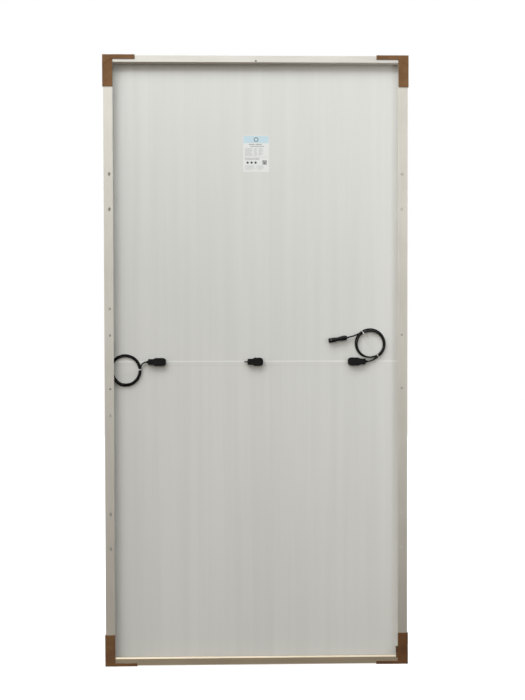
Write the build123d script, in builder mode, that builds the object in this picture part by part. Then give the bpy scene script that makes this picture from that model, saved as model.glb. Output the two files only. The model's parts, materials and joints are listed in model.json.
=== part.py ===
"""Framed half-cell photovoltaic module, 2279 x 1134 x 35 mm, with its leads and packing corners.

Row frame: X along the width, Z up along the height, Y from the rear (-Y) to the glass (+Y).
The origin is the centre of the mounting-slot pattern, in the rear face of the frame's flanges.
"""
from build123d import *
import os
from math import cos, radians, sin, tan

os.makedirs("parts", exist_ok=True)

# ---- module ----
width = 1134.0
height = 2279.0
depth = 35.0
half_w = width / 2
half_h = height / 2

# ---- frame rails (u runs inward from the outer wall, y forward from the rear face) ----
wall = 1.6
flange_t = 2.0
long_flange = 35.0
short_flange = 24.0
lip_run = 5.5
lip_rise = 4.0
chamber_w = 13.0
ledge_y = 26.5
ledge_t = 1.5
front_lip = 11.0
front_lip_t = 1.5
edge_break = 0.8
lip_root = 0.5
overcut = 1.0

# ---- holes in the flanges ----
hole_row = 21.0
short_hole_row = 19.5
outer_slot_z = 700.0
inner_slot_z = 570.0
tracker_slot_z = 200.0
ground_hole_z = 100.0
big_slot = (14.0, 9.0)
tracker_slot = (10.0, 7.0)
ground_hole_r = 2.25

# ---- corner keys ----
key_gap = 0.2
key_arm = 62.0

# ---- laminate layers, from the rear ----
laminate_inset = 3.5
backsheet_y = 28.4
backsheet_t = 0.4
rear_film_t = 0.45
cell_t = 0.2
ribbon_gap = 0.02
ribbon_t = 0.18
glass_y = 30.0
glass_t = 3.2
film_clear = 0.02

# ---- cells ----
columns = 6
rows_per_half = 12
cell_w = 182.0
cell_h = 91.0
column_gap = 2.5
row_gap = 2.0
centre_gap = 12.0
cell_chamfer = 5.0
ribbons_per_cell = 10
ribbon_w = 0.8
bus_w = 3.6
bus_offset = 3.2
end_bus_w = 5.0
end_bus_offset = 4.0
tail_w = 4.0
tail_x = 8.0

# ---- junction boxes ----
side_box_len = 66.0
centre_box_len = 57.4
box_half = 15.0
neck_half = 11.0
neck_len = 18.0
shoulder_len = 8.0
box_end_r = 11.0
box_wall = 2.0
box_floor = 2.0
pad_t = 1.0
pad_inset = 1.5
box_front_y = backsheet_y - pad_t
box_split_y = 15.0
lid_t = 3.0
lid_plug = 2.0
lid_gap = 0.25
window = (30.0, 8.0)
left_box_x = -372.4
right_box_x = 378.2
centre_box_x = -3.5
gland_y = 21.2
gland_len = 5.0
blank_len = 13.0
spigot_r = 4.0
spigot_len = 2.0
shoulder_r = 8.0
plate_size = (9.0, 14.0)
plate_x = 11.0
plate_t = 1.0
diode_size = (13.0, 9.0)
diode_h = 4.0
leg_len = 2.0
leg_t = 0.8
potting_h = 7.0
potting_gap = 0.05
lid_bevel = 1.0
skirt_t = 1.4
panel_shift = 6.0
panel_r = 3.0
panel_rise = 0.6

# ---- gland and blanking plug (radii and distances from the box's end face) ----
gland_rim_r = 6.0
gland_rim_len = 1.5
gland_root_r = 5.2
gland_root_at = 2.0
gland_tip_r = 3.8
blank_rim_r = 4.6
blank_rim_len = 1.6
blank_root_r = 2.4
blank_root_at = 2.2
blank_tip_r = 2.0

# ---- leads ----
cable_r = 2.8
coil_y = 21.2
coil_h = 12.0
coil_corner = 4.0
right_coil = (429.5, 65.0, 44.0, 57.0)
left_coil = (-492.3, -31.5, 43.0, 61.0)
tie_w = 3.0
tie_t = 0.8
tie_gap = 0.2
straight_run = 22.0
run_share = 0.45

# ---- connectors (s runs along the axis from the cable end) ----
connector_y = 18.6
nut_r = 9.3
nut_len = 22.0
nut_wall = 3.0
nut_hole_r = 3.4
nut_bore_r = 6.4
thread_r = 6.0
cable_stop = 4.0
seal_end = 23.6
connector_len = 71.0
mouth_start = 46.0
mouth_r = 6.5
contact_r = 2.6
contact_start = 30.0
contact_bore_r = 1.7
contact_bore_len = 12.0
nut_mouth_r = 5.6
nut_taper_end = 5.0
nut_shoulder = 0.8
grip_start = 7.0
grips = 12
grip_r = 1.0
grip_out = 0.35
seal_r = 7.9
seal_gap = 0.1
collar_r = 8.4
collar_end = 28.0
waist_start = 29.0
socket_waist_r = 7.2
socket_head_r = 8.8
socket_flare = 3.0
plug_waist_r = 7.4
plug_waist_end = 50.0
plug_nose_r = 6.2
plug_tip_r = 5.4
plug_tip_len = 1.0
latch_window = (6.0, 4.0)
latch_window_back = 9.0
latch_arm = (1.6, 4.4)
latch_arm_x = 7.9
latch_arm_start = 48.0
latch_arm_len = 14.0

# ---- label ----
label_size = (97.0, 136.0)
label_at = (1.0, 780.0)
label_t = 0.15
label_r = 2.0

# ---- corner protectors ----
board = 3.0
long_arm = 115.0
short_arm = 117.0
top_cover = 13.0
bottom_cover = 8.0
front_cover = 10.0

LOW = (Align.MIN, Align.MIN)


def save(part, name):
    """Label a finished piece and write its STEP file."""
    part.label = name
    export_step(part, f"parts/{name}.step")


def rear_plane(y):
    """Sketch plane facing the rear at depth y: sketch x is X, sketch y is Z."""
    return Plane(origin=(0, y, 0), x_dir=(1, 0, 0), z_dir=(0, -1, 0))


def slab(y_low, y_high, plane_shape):
    """Extrude what plane_shape() draws from depth y_low to y_high."""
    with BuildSketch(rear_plane(y_high)) as outline:
        plane_shape()
    extrude(outline.sketch, amount=y_high - y_low)


# =====================================================================
# Frame rails: mitred box-section extrusions with a rear flange
# =====================================================================
def rail_section(flange, has_lip):
    """Rail cross-section: outer wall, rear flange, key chamber, glass groove and front lip."""
    Rectangle(wall, depth, align=LOW)
    Rectangle(flange, flange_t, align=LOW)
    Rectangle(chamber_w, ledge_y + ledge_t, align=LOW)
    with Locations((0, depth - front_lip_t)):
        Rectangle(front_lip, front_lip_t, align=LOW)
    with Locations((wall, flange_t)):
        Rectangle(chamber_w - 2 * wall, ledge_y - flange_t, align=LOW, mode=Mode.SUBTRACT)
    if has_lip:
        end = flange + lip_run
        with BuildLine() as lip:
            Polyline(
                (flange - flange_t, 0),
                (flange, 0),
                (end, lip_rise),
                (end, lip_rise + flange_t),
                (flange - lip_root, flange_t),
                (flange - flange_t, flange_t),
                close=True,
            )
        make_face(lip.edges())


def cut_mitre(x, z, away_x, away_z):
    """Cut the rail at 45 degrees through the corner (x, z), dropping the side that away points to."""
    split(bisect_by=Plane(origin=(x, 0, z), z_dir=(away_x, 0, away_z)), keep=Keep.BOTTOM)


def cut_flange(draw):
    """Cut what draw() sketches right through the rear flange."""
    with BuildSketch(rear_plane(flange_t + overcut)) as holes:
        draw()
    extrude(holes.sketch, amount=flange_t + 2 * overcut, mode=Mode.SUBTRACT)


def long_rail_holes(x):
    """Mounting slots, tracker slots and grounding holes of one long rail."""
    with Locations(*[(x, s * z) for s in (-1, 1) for z in (outer_slot_z, inner_slot_z)]):
        SlotOverall(*big_slot, rotation=90)
    with Locations((x, tracker_slot_z), (x, -tracker_slot_z)):
        SlotOverall(*tracker_slot, rotation=90)
    with Locations((x, ground_hole_z), (x, -ground_hole_z)):
        Circle(ground_hole_r)


for side, sign in (("left", -1), ("right", 1)):
    end_plane = Plane(origin=(sign * half_w, 0, sign * half_h), x_dir=(-sign, 0, 0), z_dir=(0, 0, -sign))
    with BuildPart() as rail:
        with BuildSketch(end_plane):
            rail_section(long_flange, False)
        extrude(amount=height)
        cut_mitre(sign * half_w, half_h, -sign, 1)
        cut_mitre(sign * half_w, -half_h, -sign, -1)
        flange_edge = rail.edges().filter_by(Axis.Z).filter_by_position(
            Axis.X, -half_w + long_flange - key_gap, half_w - long_flange + key_gap
        )
        chamfer(flange_edge, edge_break)
        cut_flange(lambda: long_rail_holes(sign * (half_w - hole_row)))
    save(rail.part, f"rail_{side}")

for end, sign in (("top", 1), ("bottom", -1)):
    end_plane = Plane(origin=(-sign * half_w, 0, sign * half_h), x_dir=(0, 0, -sign), z_dir=(sign, 0, 0))
    with BuildPart() as rail:
        with BuildSketch(end_plane):
            rail_section(short_flange, True)
        extrude(amount=width)
        cut_mitre(-half_w, sign * half_h, -1, -sign)
        cut_mitre(half_w, sign * half_h, 1, -sign)
        if end == "top":
            with BuildSketch(rear_plane(flange_t + overcut)):
                with Locations((0, half_h - short_hole_row)):
                    Circle(ground_hole_r)
            extrude(amount=flange_t + 2 * overcut, mode=Mode.SUBTRACT)
    save(rail.part, f"rail_{end}")

# =====================================================================
# Corner keys: right-angled blocks pressed into the rail chambers
# =====================================================================
key_w = chamber_w - 2 * wall - 2 * key_gap
key_start = wall + key_gap
for row, sz in (("top", 1), ("bottom", -1)):
    for side, sx in (("left", -1), ("right", 1)):
        corner_x = sx * (half_w - key_start)
        corner_z = sz * (half_h - key_start)
        corner = (corner_x, corner_z)
        with BuildPart() as key:
            with BuildSketch(rear_plane(ledge_y - key_gap)):
                with BuildLine():
                    Polyline(
                        corner,
                        (corner_x - sx * key_arm, corner_z),
                        (corner_x - sx * key_arm, corner_z - sz * key_w),
                        (corner_x - sx * key_w, corner_z - sz * key_w),
                        (corner_x - sx * key_w, corner_z - sz * key_arm),
                        (corner_x, corner_z - sz * key_arm),
                        close=True,
                    )
                make_face()
            extrude(amount=ledge_y - flange_t - 2 * key_gap)
        save(key.part, f"corner_key_{row}_{side}")

# =====================================================================
# Laminate: backsheet, encapsulant films, cells, ribbons and glass
# =====================================================================
laminate_w = width - 2 * laminate_inset
laminate_h = height - 2 * laminate_inset
boxes = (
    ("left", left_box_x, -1, side_box_len),
    ("centre", centre_box_x, -1, centre_box_len),
    ("right", right_box_x, 1, side_box_len),
)
box_spots = [(x, 0) for _, x, _, _ in boxes]
rear_film_y = backsheet_y + backsheet_t
cell_y = rear_film_y + rear_film_t
ribbon_y = cell_y + cell_t + ribbon_gap
front_film_y = ribbon_y + ribbon_t + film_clear


def sheet_with_slits():
    """Laminate outline with a slit behind each junction box for the bus ribbons."""
    Rectangle(laminate_w, laminate_h)
    with Locations(*box_spots):
        Rectangle(*window, mode=Mode.SUBTRACT)


with BuildPart() as backsheet:
    slab(backsheet_y, rear_film_y, sheet_with_slits)
save(backsheet.part, "backsheet")

with BuildPart() as rear_film:
    slab(rear_film_y, cell_y, sheet_with_slits)
save(rear_film.part, "rear_encapsulant")

with BuildPart() as front_film:
    slab(front_film_y, glass_y, lambda: Rectangle(laminate_w, laminate_h))
save(front_film.part, "front_encapsulant")

with BuildPart() as glass:
    slab(glass_y, glass_y + glass_t, lambda: Rectangle(laminate_w, laminate_h))
    chamfer(glass.faces().sort_by(Axis.Y)[-1].edges(), edge_break)
save(glass.part, "front_glass")

column_pitch = cell_w + column_gap
row_pitch = cell_h + row_gap
column_x = [(i - (columns - 1) / 2) * column_pitch for i in range(columns)]
row_z = [centre_gap / 2 + cell_h / 2 + j * row_pitch for j in range(rows_per_half)]
half_string = rows_per_half * row_pitch - row_gap + centre_gap / 2


def half_cell(x, z, chamfered):
    """Half of a pseudo-square cell; the side named by chamfered (+1 up, -1 down) keeps its cut corners."""
    a = cell_w / 2
    b = cell_h / 2 * chamfered
    c = cell_chamfer
    with BuildLine() as outline:
        Polyline(
            (x - a, z - b),
            (x + a, z - b),
            (x + a, z + b - c * chamfered),
            (x + a - c, z + b),
            (x - a + c, z + b),
            (x - a, z + b - c * chamfered),
            close=True,
        )
    make_face(outline.edges())


for number, x in enumerate(column_x, start=1):
    with BuildPart() as cells:
        with BuildSketch(rear_plane(cell_y + cell_t)):
            for j, z in enumerate(row_z):
                half_cell(x, z, 1 if j % 2 else -1)
                half_cell(x, -z, -1 if j % 2 else 1)
        extrude(amount=cell_t)
    save(cells.part, f"cells_column_{number}")

ribbon_len = half_string + end_bus_offset - bus_offset
for half, sign in (("upper", 1), ("lower", -1)):
    with BuildPart() as ribbons:
        with BuildSketch(rear_plane(ribbon_y + ribbon_t)):
            for x in column_x:
                with Locations((x, sign * (bus_offset + ribbon_len / 2))):
                    with GridLocations(cell_w / ribbons_per_cell, 1, ribbons_per_cell, 1):
                        Rectangle(ribbon_w, ribbon_len)
        extrude(amount=ribbon_t)
    save(ribbons.part, f"cell_ribbons_{half}")

bus_len = columns * column_pitch - column_gap
pair_len = 2 * column_pitch - column_gap
for half, sign in (("upper", 1), ("lower", -1)):
    with BuildPart() as bus:
        with BuildSketch(rear_plane(cell_y + cell_t)):
            with Locations((0, sign * (half_string + end_bus_offset))):
                with GridLocations(2 * column_pitch, 1, columns // 2, 1):
                    Rectangle(pair_len, end_bus_w)
        extrude(amount=cell_t)
    save(bus.part, f"bus_ribbons_{half}")

with BuildPart() as bus:
    with BuildSketch(rear_plane(cell_y + cell_t)):
        with Locations((0, bus_offset), (0, -bus_offset)):
            Rectangle(bus_len, bus_w)
    extrude(amount=cell_t)
    with BuildSketch(rear_plane(cell_y)):
        for x, _ in box_spots:
            with Locations((x - tail_x, 0), (x + tail_x, 0)):
                Rectangle(tail_w, 2 * (bus_offset - bus_w / 2) + 2 * ribbon_w)
    extrude(amount=cell_y - box_front_y + box_floor)
save(bus.part, "bus_ribbons_centre")

# =====================================================================
# Edge sealant: U-shaped bead between the laminate and the rail grooves
# =====================================================================
groove_y = ledge_y + ledge_t
with BuildPart() as sealant:
    with BuildSketch(rear_plane(depth - front_lip_t)):
        Rectangle(width - 2 * wall, height - 2 * wall)
        Rectangle(width - 2 * front_lip, height - 2 * front_lip, mode=Mode.SUBTRACT)
    extrude(amount=depth - front_lip_t - groove_y)
    with BuildSketch(rear_plane(glass_y + glass_t)):
        Rectangle(laminate_w, laminate_h)
    extrude(amount=glass_y + glass_t - backsheet_y, mode=Mode.SUBTRACT)
save(sealant.part, "edge_sealant")

with BuildPart() as label:
    with BuildSketch(rear_plane(backsheet_y)):
        with Locations(label_at):
            RectangleRounded(*label_size, label_r)
    extrude(amount=label_t)
save(label.part, "nameplate_label")


# =====================================================================
# Junction boxes: base, lid, diode, terminals, potting, adhesive pad
# =====================================================================
def box_outline(x, sign, length, inset=0.0, mode=Mode.ADD):
    """Box seen from the rear: a narrow neck on the cable side (sign) and a rounded far end."""
    near = x + sign * (length / 2 - inset)
    far = x - sign * (length / 2 - inset)
    neck_end = x + sign * (length / 2 - neck_len)
    shoulder = neck_end - sign * shoulder_len
    wide = box_half - inset
    narrow = neck_half - inset
    with BuildLine() as outline:
        FilletPolyline(
            (near, narrow),
            (neck_end, narrow),
            (shoulder, wide),
            (far, wide),
            (far, -wide),
            (shoulder, -wide),
            (neck_end, -narrow),
            (near, -narrow),
            radius=[shoulder_r, shoulder_r, box_end_r - inset, box_end_r - inset, shoulder_r, shoulder_r],
        )
        Line((near, -narrow), (near, narrow))
    make_face(outline.edges(), mode=mode)


cavity_y = box_front_y - box_floor

with BuildPart() as pads:
    with BuildSketch(rear_plane(backsheet_y)):
        for _, x, sign, length in boxes:
            box_outline(x, sign, length, pad_inset)
        with Locations(*box_spots):
            Rectangle(*window, mode=Mode.SUBTRACT)
    extrude(amount=pad_t)
save(pads.part, "box_adhesive_pads")

with BuildPart() as plates:
    with BuildSketch(rear_plane(cavity_y)):
        for x, _ in box_spots:
            with Locations((x - plate_x, 0), (x + plate_x, 0)):
                Rectangle(*plate_size)
    extrude(amount=plate_t)
save(plates.part, "terminal_plates")

with BuildPart() as diodes:
    with BuildSketch(rear_plane(cavity_y - plate_t)):
        with Locations(*box_spots):
            Rectangle(diode_size[0] + 2 * leg_len, diode_size[1])
    extrude(amount=leg_t)
    with BuildSketch(rear_plane(cavity_y - plate_t - leg_t)):
        with Locations(*box_spots):
            Rectangle(*diode_size)
    extrude(amount=diode_h)
save(diodes.part, "bypass_diodes")

with BuildPart() as potting:
    with BuildSketch(rear_plane(cavity_y)):
        for _, x, sign, length in boxes:
            box_outline(x, sign, length, box_wall + potting_gap)
    extrude(amount=potting_h)
    add(plates.part, mode=Mode.SUBTRACT)
    add(diodes.part, mode=Mode.SUBTRACT)
    with BuildSketch(rear_plane(cavity_y)):
        with Locations(*box_spots):
            Rectangle(*window)
    extrude(amount=plate_t + leg_t, mode=Mode.SUBTRACT)
save(potting.part, "potting_compound")

for name, x, sign, length in boxes:
    with BuildPart() as base:
        slab(box_split_y, box_front_y, lambda: box_outline(x, sign, length))
        with BuildSketch(rear_plane(cavity_y)):
            box_outline(x, sign, length, box_wall)
        extrude(amount=cavity_y - box_split_y, mode=Mode.SUBTRACT)
        with BuildSketch(rear_plane(box_front_y)):
            with Locations((x, 0)):
                Rectangle(*window)
        extrude(amount=box_floor, mode=Mode.SUBTRACT)
        neck_face = Plane(origin=(x + sign * length / 2, gland_y, 0), z_dir=(sign, 0, 0))
        with BuildSketch(neck_face):
            Circle(spigot_r)
        extrude(amount=-2 * box_wall, mode=Mode.SUBTRACT)
    save(base.part, f"junction_box_base_{name}")

    with BuildPart() as lid:
        with BuildSketch(rear_plane(box_split_y)):
            box_outline(x, sign, length)
        extrude(amount=lid_t)
        chamfer(lid.faces().sort_by(Axis.Y)[0].edges(), lid_bevel)
        with BuildSketch(rear_plane(box_split_y + lid_plug)):
            box_outline(x, sign, length, box_wall + lid_gap)
            box_outline(x, sign, length, box_wall + lid_gap + skirt_t, Mode.SUBTRACT)
        extrude(amount=lid_plug)
        with BuildSketch(rear_plane(box_split_y - lid_t)):
            with Locations((x - sign * panel_shift, 0)):
                RectangleRounded(length / 2, box_half, panel_r)
        extrude(amount=panel_rise)
    save(lid.part, f"junction_box_lid_{name}")


def plug_profile(radii):
    """Half profile of a turned plug: (distance, radius) corners, closed on its axis."""
    with BuildLine() as profile:
        Polyline((radii[0][0], 0), *radii, (radii[-1][0], 0), close=True)
    make_face(profile.edges())


left_neck = left_box_x - side_box_len / 2
right_neck = right_box_x + side_box_len / 2
for name, sign, neck_x in (("left", -1, left_neck), ("right", 1, right_neck)):
    with BuildPart() as gland:
        with BuildSketch(Plane(origin=(neck_x, gland_y, 0), x_dir=(sign, 0, 0), z_dir=(0, 0, 1))):
            plug_profile(
                [
                    (-spigot_len, spigot_r),
                    (0, spigot_r),
                    (0, gland_rim_r),
                    (gland_rim_len, gland_rim_r),
                    (gland_root_at, gland_root_r),
                    (gland_len, gland_tip_r),
                ]
            )
        revolve(axis=Axis((neck_x, gland_y, 0), (1, 0, 0)))
    save(gland.part, f"cable_gland_{name}")

centre_neck = centre_box_x - centre_box_len / 2
with BuildPart() as blank:
    with BuildSketch(Plane(origin=(centre_neck, gland_y, 0), x_dir=(-1, 0, 0), z_dir=(0, 0, 1))):
        plug_profile(
            [
                (-spigot_len, spigot_r),
                (0, spigot_r),
                (0, blank_rim_r),
                (blank_rim_len, blank_rim_r),
                (blank_root_at, blank_root_r),
                (blank_len, blank_tip_r),
            ]
        )
    revolve(axis=Axis((centre_neck, gland_y, 0), (1, 0, 0)))
save(blank.part, "blanking_plug_centre")


# =====================================================================
# Leads: each is a short tube, a coil and a tail that ends in a connector
# =====================================================================
def corner_radii(points):
    """Arcs that use run_share of the shorter run at each corner of a route."""
    radii = []
    for a, b, c in zip(points, points[1:], points[2:]):
        before = Vector(*b) - Vector(*a)
        after = Vector(*c) - Vector(*b)
        turn = radians(before.get_angle(after))
        radii.append(run_share * min(before.length, after.length) / tan(turn / 2))
    return radii


def cable_tube(name, points):
    """Round cable along straight runs joined by tangent arcs."""
    radii = corner_radii(points)
    with BuildPart() as tube:
        with BuildLine() as path:
            FilletPolyline(*points, radius=radii)
        with BuildSketch(Plane(origin=path.wire() @ 0, z_dir=path.wire() % 0)):
            Circle(cable_r)
        sweep(path=path.wire())
    expected = path.wire().length * Circle(cable_r, mode=Mode.PRIVATE).area
    ratio = tube.part.volume / expected
    print(name, "radii", [round(r, 1) for r in radii], "length", round(path.wire().length, 1),
          "volume ratio", round(ratio, 4))
    save(tube.part, name)


def coil_ring(name, coil):
    """Outer shape of a coiled length: a ring lying against the backsheet."""
    x, z, inner, outer = coil
    with BuildPart() as ring:
        with BuildSketch(Plane(origin=(x, 0, z), x_dir=(1, 0, 0), z_dir=(0, 0, 1))):
            with Locations(((inner + outer) / 2, coil_y)):
                RectangleRounded(outer - inner, coil_h, coil_corner)
        revolve(axis=Axis((x, 0, z), (0, 1, 0)))
    save(ring.part, name)


def tie_loop(coil, angle):
    """Strap around the coil's section at one angle (degrees, from +X towards +Z)."""
    x, z, inner, outer = coil
    out = Vector(cos(radians(angle)), 0, sin(radians(angle)))
    mid = (inner + outer) / 2
    origin = Vector(x, coil_y, z) + out * mid
    with BuildSketch(Plane(origin=origin, x_dir=out, z_dir=out.cross(Vector(0, 1, 0)))) as loop:
        Rectangle(outer - inner + 2 * (tie_gap + tie_t), coil_h + 2 * (tie_gap + tie_t))
        Rectangle(outer - inner + 2 * tie_gap, coil_h + 2 * tie_gap, mode=Mode.SUBTRACT)
    extrude(loop.sketch, amount=tie_w / 2, both=True)


nose_right = Vector(-0.985, 0, -0.173).normalized()
nose_left = Vector(0, 0, 1)
right_nut = Vector(342.3, connector_y, 90.4)
left_nut = Vector(-544.2, connector_y, 12.0)
right_stop = right_nut + nose_right * cable_stop
left_stop = left_nut + nose_left * cable_stop
right_exit = right_neck + gland_len
left_exit = left_neck - gland_len

right_stub = [
    (right_exit, gland_y, 0),
    (right_exit + 8, gland_y, 0),
    (435.0, 21.6, 2.4),
    (446.0, 22.2, 8.0),
    (455.0, 22.8, 16.4),
]
left_stub = [
    (left_exit, gland_y, 0),
    (left_exit - 6.5, gland_y, 0),
    (-428.1, 20.4, -2.3),
    (-438.9, 19.4, -9.2),
    (-446.5, 19.8, -19.6),
]
right_approach = right_stop - nose_right * straight_run
right_tail = [
    (408.0, 18.4, 114.3),
    (386.0, 18.3, 104.4),
    (right_approach.X, connector_y, right_approach.Z),
    (right_stop.X, connector_y, right_stop.Z),
]
left_tail = [
    (-540.0, 20.0, -38),
    (-541.0, 19.4, -22),
    (-544.2, connector_y, -3),
    (left_stop.X, connector_y, left_stop.Z),
]
for side, coil, stub, tail, tie_angles in (
    ("right", right_coil, right_stub, right_tail, (-50, 102)),
    ("left", left_coil, left_stub, left_tail, (2, -150)),
):
    cable_tube(f"lead_{side}_stub", stub)
    cable_tube(f"lead_{side}_tail", tail)
    coil_ring(f"lead_{side}_coil", coil)
    with BuildPart() as tie:
        for angle in tie_angles:
            tie_loop(coil, angle)
    save(tie.part, f"coil_tie_{side}")


# =====================================================================
# Connectors: cap nut, seal ring, body and contact on one axis
# =====================================================================
def turned(start, nose, x_dir, corners, mode=Mode.ADD):
    """Revolve a half profile of (s, radius) corners about the connector's axis."""
    plane = Plane(origin=start, x_dir=nose, z_dir=x_dir)
    with BuildSketch(plane) as half:
        plug_profile(corners)
    revolve(half.sketch, axis=Axis(start, nose), mode=mode)


def axis_hole(start, nose, radius, s_low, s_high):
    """Bore a round hole along the axis between two distances from the cable end."""
    with BuildSketch(Plane(origin=start + nose * s_high, z_dir=nose)) as hole:
        Circle(radius)
    extrude(hole.sketch, amount=-(s_high - s_low), mode=Mode.SUBTRACT)


for side, start, nose, across in (
    ("right", right_nut, nose_right, Vector(0, 1, 0)),
    ("left", left_nut, nose_left, Vector(0, 1, 0)),
):
    with BuildPart() as nut:
        nut_corners = [
            (0, nut_mouth_r),
            (nut_taper_end, nut_r - nut_shoulder),
            (grip_start, nut_r),
            (nut_len, nut_r),
        ]
        turned(start, nose, across, nut_corners)
        with BuildSketch(Plane(origin=start + nose * nut_len, x_dir=across, z_dir=nose)):
            with PolarLocations(nut_r + grip_out, grips):
                Circle(grip_r)
        extrude(amount=-(nut_len - grip_start), mode=Mode.SUBTRACT)
        axis_hole(start, nose, nut_hole_r, 0, nut_len)
        axis_hole(start, nose, nut_bore_r, nut_wall, nut_len)
    save(nut.part, f"connector_{side}_nut")

    with BuildPart() as seal:
        turned(start, nose, across, [(nut_len + seal_gap, seal_r), (seal_end, seal_r)])
        axis_hole(start, nose, thread_r, nut_len, seal_end)
    save(seal.part, f"connector_{side}_seal")

    with BuildPart() as body:
        if side == "right":
            corners = [
                (cable_stop, thread_r),
                (seal_end, thread_r),
                (seal_end, collar_r),
                (collar_end, collar_r),
                (waist_start, socket_waist_r),
                (mouth_start - socket_flare, socket_waist_r),
                (mouth_start, socket_head_r),
                (connector_len, socket_head_r),
            ]
        else:
            corners = [
                (cable_stop, thread_r),
                (seal_end, thread_r),
                (seal_end, collar_r),
                (collar_end, collar_r),
                (waist_start, plug_waist_r),
                (plug_waist_end, plug_waist_r),
                (plug_waist_end, plug_nose_r),
                (connector_len - plug_tip_len, plug_nose_r),
                (connector_len, plug_tip_r),
            ]
        turned(start, nose, across, corners)
        if side == "right":
            axis_hole(start, nose, mouth_r, mouth_start, connector_len)
            window_at = start + nose * (connector_len - latch_window_back)
            with BuildSketch(Plane(origin=window_at, x_dir=nose, z_dir=across)):
                Rectangle(*latch_window)
            extrude(amount=nut_r + overcut, both=True, mode=Mode.SUBTRACT)
        else:
            with BuildSketch(Plane(origin=start + nose * latch_arm_start, x_dir=across, z_dir=nose)):
                with Locations((latch_arm_x, 0), (-latch_arm_x, 0)):
                    Rectangle(*latch_arm)
            extrude(amount=latch_arm_len)
        axis_hole(start, nose, contact_r, contact_start, connector_len)
    save(body.part, f"connector_{side}_body")

    contact_end = mouth_start if side == "right" else connector_len - plug_tip_len
    with BuildPart() as contact:
        turned(start, nose, across, [(contact_start, contact_r), (contact_end, contact_r)])
        axis_hole(start, nose, contact_bore_r, contact_end - contact_bore_len, contact_end)
    save(contact.part, f"connector_{side}_contact")

# =====================================================================
# Corner protectors: folded board sleeves over the four corners
# =====================================================================
for row, sz, cover in (("top", 1, top_cover), ("bottom", -1, bottom_cover)):
    for side, sx in (("left", -1), ("right", 1)):
        out_x = sx * (half_w + board)
        out_z = sz * (half_h + board)

        def corner_leaf(long_cover, short_cover):
            """Leaf over the corner: an arm down the long rail and an arm along the short rail."""
            with BuildLine() as leaf:
                Polyline(
                    (out_x, out_z),
                    (sx * (half_w - short_arm), out_z),
                    (sx * (half_w - short_arm), sz * (half_h - short_cover)),
                    (sx * (half_w - long_cover), sz * (half_h - short_cover)),
                    (sx * (half_w - long_cover), sz * (half_h - long_arm)),
                    (out_x, sz * (half_h - long_arm)),
                    close=True,
                )
            make_face(leaf.edges())

        with BuildPart() as protector:
            slab(-board, 0, lambda: corner_leaf(long_flange, cover))
            slab(depth, depth + board, lambda: corner_leaf(front_cover, front_cover))
            with BuildSketch(rear_plane(depth)):
                with BuildLine():
                    Polyline(
                        (out_x, out_z),
                        (sx * (half_w - short_arm), out_z),
                        (sx * (half_w - short_arm), sz * half_h),
                        (sx * half_w, sz * half_h),
                        (sx * half_w, sz * (half_h - long_arm)),
                        (out_x, sz * (half_h - long_arm)),
                        close=True,
                    )
                make_face()
            extrude(amount=depth)
        save(protector.part, f"corner_protector_{row}_{side}")
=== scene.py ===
import json
from math import cos, pi, radians, sin

import bmesh
import bpy
from mathutils import Matrix, Vector, noise


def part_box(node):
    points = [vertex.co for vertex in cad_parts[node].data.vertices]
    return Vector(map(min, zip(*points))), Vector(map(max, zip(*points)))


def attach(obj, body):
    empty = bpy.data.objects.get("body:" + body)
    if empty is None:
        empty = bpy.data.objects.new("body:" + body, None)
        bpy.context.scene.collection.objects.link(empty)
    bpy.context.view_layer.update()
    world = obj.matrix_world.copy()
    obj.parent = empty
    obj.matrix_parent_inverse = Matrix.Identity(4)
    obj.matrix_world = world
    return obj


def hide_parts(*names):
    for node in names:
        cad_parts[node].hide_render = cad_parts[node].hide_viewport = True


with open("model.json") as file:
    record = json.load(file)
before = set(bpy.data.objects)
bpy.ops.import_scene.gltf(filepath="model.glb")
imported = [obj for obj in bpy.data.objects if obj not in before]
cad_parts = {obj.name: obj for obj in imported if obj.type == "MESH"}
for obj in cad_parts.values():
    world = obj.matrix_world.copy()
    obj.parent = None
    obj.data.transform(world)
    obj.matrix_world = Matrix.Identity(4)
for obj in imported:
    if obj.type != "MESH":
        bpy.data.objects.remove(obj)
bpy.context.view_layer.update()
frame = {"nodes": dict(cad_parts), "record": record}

nodes = frame["nodes"]


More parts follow.
